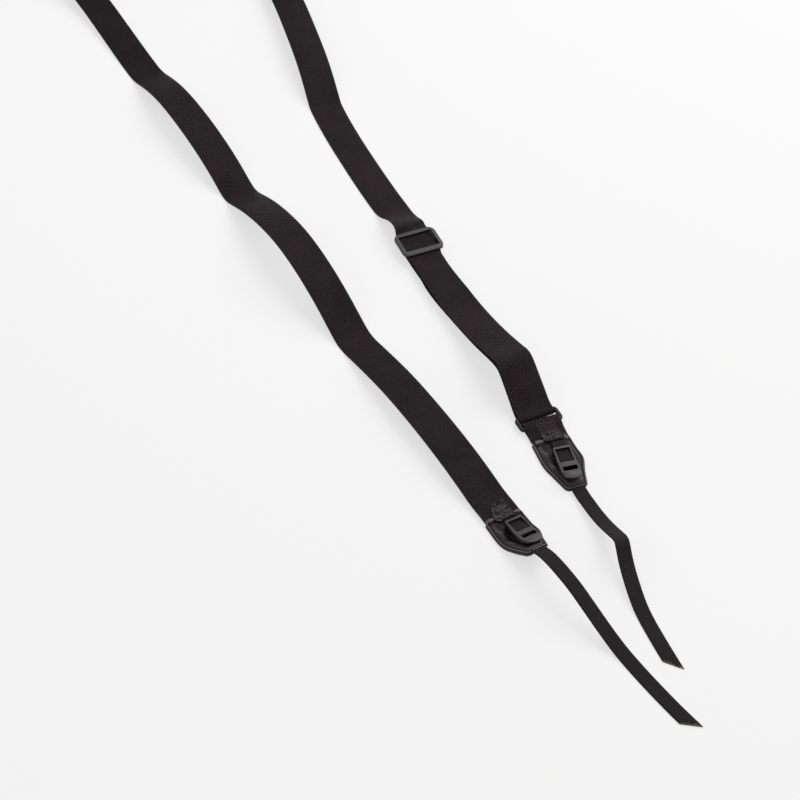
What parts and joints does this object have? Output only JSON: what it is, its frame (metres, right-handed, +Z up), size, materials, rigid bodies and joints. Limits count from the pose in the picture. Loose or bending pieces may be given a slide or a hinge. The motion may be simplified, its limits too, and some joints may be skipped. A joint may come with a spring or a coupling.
{
  "type": "camera neck strap",
  "caption": "Adjustable webbing neck strap with a sliding adjuster, a rectangular ring, leather end tabs, ladder-lock buckles and narrow tails for a camera's strap lugs.",
  "frame": {"origin": "on the surface the strap lies on, under the middle of the strap and its end tabs, with the two narrow tails left out", "axes": "+Y along the strap from the end tabs towards the neck, +Z up from the surface, +X towards the side with the slider and the ring"},
  "size_m": [0.1742, 0.9474, 0.0255],
  "materials": {
    "strap_webbing": "ribbed woven nylon, matt",
    "narrow_webbing": "fine woven nylon, matt",
    "tab_leather": "grained, semi-matt",
    "stiffener": "plain sheet, sealed inside the tab",
    "thread": "bonded thread",
    "moulded_plastic": "fine moulded texture",
    "black_metal": "black, semi-gloss"
  },
  "bodies": {
    "strap": {"strap_webbing": "strap_webbing", "left_tab_back": "tab_leather", "left_tab_front": "tab_leather", "left_tab_stiffener": "stiffener", "left_tab_stitching": "thread", "left_loop_end": "narrow_webbing", "left_bartack": "thread", "left_tail_webbing": "narrow_webbing"},
    "slider": {"slider": "moulded_plastic", "strap_end_loop": "strap_webbing", "strap_end_stitching": "thread"},
    "ring": {"ring": "black_metal"},
    "right_end": {"connector_webbing": "strap_webbing", "connector_stitching": "thread", "right_tab_back": "tab_leather", "right_tab_front": "tab_leather", "right_tab_stiffener": "stiffener", "right_tab_stitching": "thread", "right_loop_end": "narrow_webbing", "right_bartack": "thread", "right_tail_webbing": "narrow_webbing"},
    "left_buckle": {"left_buckle": "moulded_plastic", "left_buckle_loop": "narrow_webbing"},
    "right_buckle": {"right_buckle": "moulded_plastic", "right_buckle_loop": "narrow_webbing"}
  },
  "joints": [
    {"name": "slider_travel", "type": "slide", "parent": "strap", "child": "slider", "axis": [-0.0732, -0.9973, 0], "range_m": [0, 0.03]},
    {"name": "ring_swing", "type": "hinge", "parent": "strap", "child": "ring", "pos_m": [0.02216, -0.2876, 0.003], "axis": [-0.999, 0.0436, 0], "range_deg": [0, 60]},
    {"name": "right_end_swing", "type": "hinge", "parent": "ring", "child": "right_end", "pos_m": [0.02172, -0.29759, 0.003], "axis": [-0.999, 0.0436, 0], "range_deg": [0, 30]},
    {"name": "left_buckle_lift", "type": "hinge", "parent": "strap", "child": "left_buckle", "pos_m": [-0.03833, -0.36163, 0.00506], "axis": [-0.9997, -0.0227, 0], "range_deg": [0, 90]},
    {"name": "right_buckle_lift", "type": "hinge", "parent": "right_end", "child": "right_buckle", "pos_m": [0.02212, -0.31709, 0.00486], "axis": [-0.9744, 0.225, 0], "range_deg": [0, 90]}
  ]
}
